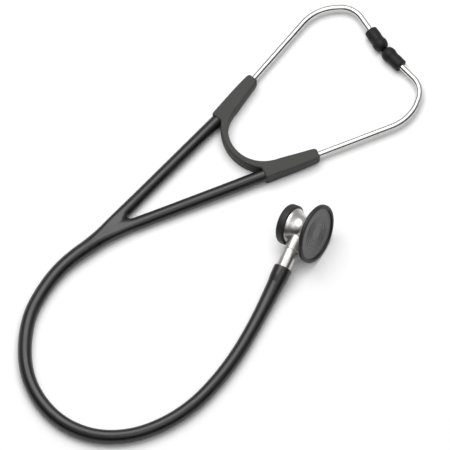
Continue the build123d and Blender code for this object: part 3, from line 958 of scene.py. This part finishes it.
class STETH_OT_chestpiece(bpy.types.Operator):
    """Turn the steel head and its boss, and fit the two rims and the diaphragm"""
    bl_idname = "steth.chestpiece"
    bl_label = "Chestpiece"

    def execute(self, context):
        size = context.scene.steth_chestpiece
        self.body(size)
        self.bell_ring(size)
        self.diaphragm_ring(size)
        self.diaphragm(size)
        return {"FINISHED"}

    def finish(self, obj, material, node_name, slot):
        paint(obj, material)
        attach(obj, "chestpiece")
        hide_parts(node_name)

    def body(self, size):
        """Bell cup, concave waist and diaphragm plate in one, with the boss for the stem."""
        cup = curve_through([(1.5, -5.9), (4.5, -6.4), (8.5, -8.9), (11.6, -11.6), (12.5, -12.8)], 6)
        rim = rounded([(12.55, -12.95), (13.55, -12.95, 0.3), (13.55, -6.7)])
        waist = curve_through([(13.45, -6.4), (12.75, -5.1), (11.3, -3.2), (10.0, -1.1), (9.25, 1.3), (9.1, 3.4),
                               (9.8, 5.5), (11.7, 7.4), (15.0, 9.0), (19.4, 10.0)], 8)
        plate = rounded([(19.6, 10.05), (20.95, 10.4, 0.6), (20.95, 12.6), (19.4, 12.6), (18.8, 11.9),
                         (5.0, 11.1), (1.5, 10.8)])
        outline = [Vector((1.5, 10.8)), Vector((1.5, -5.9))] + cup[1:] + rim + waist + plate[:-1]
        body = turned("chestpiece_turned", outline, HEAD, size.sides, ring=True)
        boss = turned("boss", rounded([(0, 6), (6.0, 6), (6.0, 18.0, 0.35), (3.25, 18.0), (3.25, 12), (0, 12)]),
                      STEM, 96)
        apply_modifier(body, "BOOLEAN", object=boss, operation="UNION", solver="EXACT")
        bpy.data.objects.remove(boss)
        bm = bmesh.new()
        bm.from_mesh(body.data)
        for edge in bm.edges:
            sharp = len(edge.link_faces) == 2 and edge.calc_face_angle(0) > math.radians(30)
            edge.smooth = not sharp
        bm.to_mesh(body.data)
        bm.free()
        self.finish(body, steel_material(), "chestpiece_body", "polished_steel")

    def bell_ring(self, size):
        """Soft non-chill ring, rounded on the outside and hooked over the rim."""
        outline = rounded([(12.6, -13.1), (12.6, -13.6, 0.35), (15.4, -13.6, 1.6), (15.4, -7.0, 1.4), (13.6, -7.0),
                           (13.6, -13.1)])
        ring = turned("bell_ring_soft", outline, HEAD, size.sides, ring=True)
        self.finish(ring, rim_material(), "bell_ring", "rim_rubber")

    def diaphragm_ring(self, size):
        """Retaining ring with a rounded outer edge and a lip over the diaphragm."""
        outline = rounded([(21.0, 13.1), (21.0, 11.4), (22.6, 11.4, 0.6), (22.6, 14.4, 1.3), (19.8, 14.4, 0.8),
                           (19.8, 13.1)])
        ring = turned("diaphragm_ring_moulded", outline, HEAD, size.sides, ring=True)
        self.finish(ring, rim_material(), "diaphragm_ring", "rim_plastic")

    def diaphragm(self, size):
        """Thin disc with a flat middle and concentric ripples."""
        ripple = size.ripple / MM
        top = []
        for step in range(211):
            radius = 21.0 * (1 - step / 210)
            band = smoothstep(4.2, 5.6, radius) * (1 - smoothstep(13.2, 14.4, radius))
            wave = math.cos(2 * math.pi * (radius - 5.2) / 2.2) * ripple
            dish = -0.25 * (1 - smoothstep(13, 19.5, radius))
            top.append(Vector((radius, 13.12 + wave * band + dish)))
        outline = [Vector((0, 12.65)), Vector((21.0, 12.7))] + top
        disc = turned("diaphragm_rippled", outline, HEAD, size.sides)
        self.finish(disc, membrane_material(), "diaphragm", "diaphragm_film")


def membrane_material():
    colour = tuple(bpy.context.scene.steth_chestpiece.membrane)
    return material_for("Diaphragm film", rubber, colour, (0.32, 0.45), 3000.0, 0.006 * MM, lighter=1.2)


class STETH_OT_stem(bpy.types.Operator):
    """Turn the polished stem that the tube is pushed onto"""
    bl_idname = "steth.stem"
    bl_label = "Stem"

    def execute(self, context):
        outline = rounded([(0, 12), (3.2, 12), (3.2, 18.1), (5.8, 18.1, 0.3), (5.8, 32.5, 0.2), (2.7, 32.5),
                           (2.7, 35.0)])
        for ridge in range(3):
            at = 35.0 + 3.2 * ridge
            outline += [Vector((3.25, at)), Vector((2.7, at + 2.4))]
        outline += [Vector((2.2, 44.0)), Vector((0, 44.0))]
        stem = turned("stem_turned", outline, STEM, context.scene.steth_chestpiece.sides)
        paint(stem, stem_material())
        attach(stem, "tubing")
        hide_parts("stem")
        return {"FINISHED"}


class STETH_OT_inner_parts(bpy.types.Operator):
    """Finish the parts that are hidden inside: springs, seals, inserts and sockets"""
    bl_idname = "steth.inner_parts"
    bl_label = "Inner parts"

    def execute(self, context):
        finishes = {
            "detent_spring": spring_steel_material(),
            "stem_retaining_ring": spring_steel_material(),
            "detent_ball": stem_material(),
            "detent_screw": stem_material(),
            "stem_o_ring": rim_material(),
        }
        for side in ("left", "right"):
            finishes["spring_socket_" + side] = spring_steel_material()
            finishes["ear_tip_insert_" + side] = brass_material()
        for name, material in finishes.items():
            paint(frame["nodes"][name], material)
        self.press_spring(frame["nodes"]["detent_spring"])
        return {"FINISHED"}

    def press_spring(self, spring):
        """Gives the detent spring a mesh of its own."""
        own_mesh(spring)


# --- Stage ---

class STETH_OT_stage(bpy.types.Operator):
    """Set out the pale floor, the soft lights and the camera"""
    bl_idname = "steth.stage"
    bl_label = "Stage"

    def execute(self, context):
        stage = context.scene.steth_stage
        right = Vector((math.sin(stage.heading), math.cos(stage.heading), 0))
        ahead = Vector((-right.y, right.x, 0))
        target = V_PLACE @ (Vector((42.8, 56.5, 0)) * MM)
        self.camera(context, stage, target, ahead)
        self.floor()
        self.lights(target, right, ahead)
        self.world(context, ahead)
        context.scene.view_settings.view_transform = "Standard"
        return {"FINISHED"}

    def camera(self, context, stage, target, ahead):
        data = bpy.data.cameras.new("camera")
        data.angle = 2 * math.atan(stage.width / 2 / stage.distance)
        camera = bpy.data.objects.new("camera", data)
        toward = ahead * math.cos(stage.elevation) - UP * math.sin(stage.elevation)
        camera.location = target - toward * stage.distance
        camera.rotation_euler = toward.to_track_quat("-Z", "Y").to_euler()
        context.scene.collection.objects.link(camera)
        context.scene.camera = camera

    def floor(self):
        bm = bmesh.new()
        bmesh.ops.create_grid(bm, x_segments=8, y_segments=8, size=4)
        floor = new_object("floor", bm)
        material, tree, shader = start_material("Pale floor", (0.93, 0.93, 0.93))
        grain = add_group(tree, fine_grain(), (-900, 0), Grain_scale=400.0, Patch_scale=3.0)
        link_tint(tree, grain.outputs["Patches"], shader.inputs["Base Color"], (0.925, 0.925, 0.925),
                  (0.935, 0.935, 0.935), (-500, 200))
        shader.inputs["Roughness"].default_value = 0.9
        shader.inputs["Specular IOR Level"].default_value = 0.2
        paint(floor, material)

    def lights(self, target, right, ahead):
        """A broad key from behind and above, and a weaker fill from the camera's side."""
        rigs = (
            ("key", target + ahead * 0.5 + UP * 1.35 - right * 0.12, 1.5, 1.1, 18.0),
            ("fill", target - ahead * 0.5 + UP * 1.3 + right * 0.3, 0.8, 0.6, 2.0),
        )
        for name, place, width, depth, power in rigs:
            data = bpy.data.lights.new(name, "AREA")
            data.shape = "RECTANGLE"
            data.size, data.size_y = width, depth
            data.energy = power
            lamp = bpy.data.objects.new(name, data)
            lamp.location = place
            lamp.rotation_euler = (target - place).to_track_quat("-Z", "Y").to_euler()
            bpy.context.scene.collection.objects.link(lamp)

    def world(self, context, ahead):
        """A pale room, dark near the ground, and most of all on the camera's side."""
        world = bpy.data.worlds.new("soft room")
        world.use_nodes = True
        tree = world.node_tree
        background = tree.nodes["Background"]
        where = node(tree, "ShaderNodeTexCoord", (-1100, 0))
        height = node(tree, "ShaderNodeSeparateXYZ", (-900, 100))
        nearness = node(tree, "ShaderNodeVectorMath", (-900, -150), operation="DOT_PRODUCT")
        nearness.inputs[1].default_value = -ahead
        low = node(tree, "ShaderNodeMapRange", (-600, 100), interpolation_type="SMOOTHSTEP")
        low.inputs["From Min"].default_value = 0.80
        low.inputs["From Max"].default_value = 0.50
        near = node(tree, "ShaderNodeMapRange", (-600, -150), interpolation_type="SMOOTHSTEP")
        near.inputs["From Min"].default_value = -0.35
        near.inputs["From Max"].default_value = 0.3
        near.inputs["To Min"].default_value = 0.35
        dark = node(tree, "ShaderNodeMath", (-350, 0), operation="MULTIPLY")
        tree.links.new(where.outputs["Generated"], height.inputs["Vector"])
        tree.links.new(where.outputs["Generated"], nearness.inputs[0])
        tree.links.new(height.outputs["Z"], low.inputs["Value"])
        tree.links.new(nearness.outputs["Value"], near.inputs["Value"])
        tree.links.new(low.outputs["Result"], dark.inputs[0])
        tree.links.new(near.outputs["Result"], dark.inputs[1])
        link_tint(tree, dark.outputs["Value"], background.inputs["Color"], (0.62, 0.62, 0.62),
                  (0.02, 0.02, 0.02), (-150, 0))
        context.scene.world = world


# --- The add-on ---

class STETH_PT_builder(bpy.types.Panel):
    """The builder's buttons and settings"""
    bl_label = "Stethoscope"
    bl_idname = "STETH_PT_builder"
    bl_space_type = "VIEW_3D"
    bl_region_type = "UI"
    bl_category = "Stethoscope"

    def draw(self, context):
        for step in STEPS:
            self.layout.operator(step.bl_idname)
        for name, settings in SETTINGS.items():
            box = self.layout.box()
            for key in settings.__annotations__:
                box.prop(getattr(context.scene, name), key)


SETTINGS = {
    "steth_tubing": TubingSettings,
    "steth_yoke": YokeSettings,
    "steth_headset": HeadsetSettings,
    "steth_chestpiece": ChestpieceSettings,
    "steth_stage": StageSettings,
}
STEPS = (
    STETH_OT_stage,
    STETH_OT_main_tube,
    STETH_OT_branch_tubes,
    STETH_OT_yoke,
    STETH_OT_ear_tubes,
    STETH_OT_ear_tips,
    STETH_OT_stem,
    STETH_OT_chestpiece,
    STETH_OT_inner_parts,
)


def register():
    for kind in (*SETTINGS.values(), *STEPS, STETH_PT_builder):
        bpy.utils.register_class(kind)
    for name, kind in SETTINGS.items():
        setattr(bpy.types.Scene, name, PointerProperty(type=kind))


def unregister():
    for name in SETTINGS:
        delattr(bpy.types.Scene, name)
    for kind in reversed((*SETTINGS.values(), *STEPS, STETH_PT_builder)):
        bpy.utils.unregister_class(kind)


def main():
    register()
    for step in STEPS:
        group_name, operator_name = step.bl_idname.split(".")
        getattr(getattr(bpy.ops, group_name), operator_name)()


if __name__ == "__main__":
    main()
